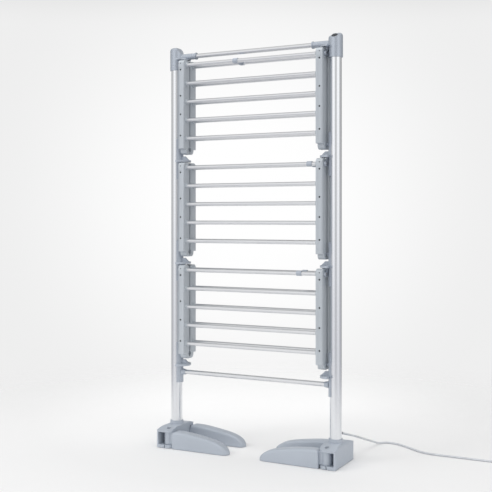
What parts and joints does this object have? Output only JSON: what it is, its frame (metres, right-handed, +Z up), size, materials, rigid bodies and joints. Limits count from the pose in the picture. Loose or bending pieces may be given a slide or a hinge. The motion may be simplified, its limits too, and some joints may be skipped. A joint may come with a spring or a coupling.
{
  "type": "heated clothes airer",
  "caption": "Tall folding heated clothes airer: round posts on hubs with fold-out legs, and tiers of paired rung wings that hang folded and swing out.",
  "frame": {"origin": "on the floor, midway between the two posts and midway between the front and the rear wings", "axes": "+X to the right along the rungs, +Y to the back, +Z up; the side seen in the picture faces -Y. The wings hang down and the legs are folded inwards, as in the picture."},
  "size_m": [1.2452, 0.4871, 1.445],
  "materials": {
    "moulding": "satin blue-grey moulding",
    "cover": "satin blue-grey strip",
    "tube": "bright anodised tube",
    "pin": "plain steel",
    "wire": "insulated heating wire",
    "pad": "black rubber",
    "button": "dark button",
    "cord": "pale grey cord and plug",
    "contact": "bare pins"
  },
  "bodies": {
    "frame": {"left_post": "tube", "right_post": "tube", "left_cap": "moulding", "right_cap": "moulding", "top_bar": "tube", "bottom_bar": "tube", "left_upper_bracket": "moulding", "right_upper_bracket": "moulding", "left_lower_bracket": "moulding", "right_lower_bracket": "moulding", "left_base_bracket": "moulding", "right_base_bracket": "moulding", "hinge_pins": "pin", "left_hub": "moulding", "right_hub": "moulding", "leg_pins": "pin", "hub_pads": "pad", "strain_relief": "pad", "cord_run": "cord", "cord_coil": "cord", "plug": "cord", "plug_pins": "contact"},
    "top_front_wing": {"top_front_left_rail": "moulding", "top_front_right_rail": "moulding", "top_front_covers": "cover", "top_front_rungs": "tube", "top_front_heaters": "wire"},
    "top_rear_wing": {"top_rear_left_rail": "moulding", "top_rear_right_rail": "moulding", "top_rear_covers": "cover", "top_rear_rungs": "tube", "top_rear_heaters": "wire"},
    "middle_front_wing": {"middle_front_left_rail": "moulding", "middle_front_right_rail": "moulding", "middle_front_covers": "cover", "middle_front_rungs": "tube", "middle_front_heaters": "wire"},
    "middle_rear_wing": {"middle_rear_left_rail": "moulding", "middle_rear_right_rail": "moulding", "middle_rear_covers": "cover", "middle_rear_rungs": "tube", "middle_rear_heaters": "wire"},
    "lower_front_wing": {"lower_front_left_rail": "moulding", "lower_front_right_rail": "moulding", "lower_front_covers": "cover", "lower_front_rungs": "tube", "lower_front_heaters": "wire"},
    "lower_rear_wing": {"lower_rear_left_rail": "moulding", "lower_rear_right_rail": "moulding", "lower_rear_covers": "cover", "lower_rear_rungs": "tube", "lower_rear_heaters": "wire"},
    "left_front_leg": {"left_front_leg": "moulding"},
    "left_rear_leg": {"left_rear_leg": "moulding"},
    "right_front_leg": {"right_front_leg": "moulding"},
    "right_rear_leg": {"right_rear_leg": "moulding"},
    "top_tie_clip": {"top_tie_clip": "moulding"},
    "middle_tie_clip": {"middle_tie_clip": "moulding"},
    "lower_tie_clip": {"lower_tie_clip": "moulding"},
    "power_button": {"power_button": "button"}
  },
  "joints": [
    {"name": "top_front_wing_hinge", "type": "hinge", "parent": "frame", "child": "top_front_wing", "pos_m": [0, -0.024, 1.377], "axis": [-1, 0, 0], "range_deg": [0, 90]},
    {"name": "top_rear_wing_hinge", "type": "hinge", "parent": "frame", "child": "top_rear_wing", "pos_m": [0, 0.024, 1.377], "axis": [1, 0, 0], "range_deg": [0, 90]},
    {"name": "middle_front_wing_hinge", "type": "hinge", "parent": "frame", "child": "middle_front_wing", "pos_m": [0, -0.024, 1.007], "axis": [-1, 0, 0], "range_deg": [0, 90]},
    {"name": "middle_rear_wing_hinge", "type": "hinge", "parent": "frame", "child": "middle_rear_wing", "pos_m": [0, 0.024, 1.007], "axis": [1, 0, 0], "range_deg": [0, 90]},
    {"name": "lower_front_wing_hinge", "type": "hinge", "parent": "frame", "child": "lower_front_wing", "pos_m": [0, -0.024, 0.637], "axis": [-1, 0, 0], "range_deg": [0, 90]},
    {"name": "lower_rear_wing_hinge", "type": "hinge", "parent": "frame", "child": "lower_rear_wing", "pos_m": [0, 0.024, 0.637], "axis": [1, 0, 0], "range_deg": [0, 90]},
    {"name": "left_front_leg_hinge", "type": "hinge", "parent": "frame", "child": "left_front_leg", "pos_m": [-0.305, -0.063, 0.03], "axis": [0, 0, -1], "range_deg": [0, 90]},
    {"name": "left_rear_leg_hinge", "type": "hinge", "parent": "frame", "child": "left_rear_leg", "pos_m": [-0.305, 0.063, 0.03], "axis": [0, 0, 1], "range_deg": [0, 90]},
    {"name": "right_front_leg_hinge", "type": "hinge", "parent": "frame", "child": "right_front_leg", "pos_m": [0.305, -0.063, 0.03], "axis": [0, 0, 1], "range_deg": [0, 90]},
    {"name": "right_rear_leg_hinge", "type": "hinge", "parent": "frame", "child": "right_rear_leg", "pos_m": [0.305, 0.063, 0.03], "axis": [0, 0, -1], "range_deg": [0, 90]},
    {"name": "top_tie_clip_slide", "type": "slide", "parent": "frame", "child": "top_tie_clip", "axis": [1, 0, 0], "range_m": [-0.185, 0.295]},
    {"name": "middle_tie_clip_slide", "type": "slide", "parent": "frame", "child": "middle_tie_clip", "axis": [1, 0, 0], "range_m": [-0.467, 0.013]},
    {"name": "lower_tie_clip_slide", "type": "slide", "parent": "frame", "child": "lower_tie_clip", "axis": [1, 0, 0], "range_m": [-0.429, 0.051]},
    {"name": "power_button_press", "type": "slide", "parent": "frame", "child": "power_button", "axis": [0, 0.5736, -0.8192], "range_m": [0, 0.0015], "stiffness_N_per_m": 800, "springref_m": -0.001}
  ]
}
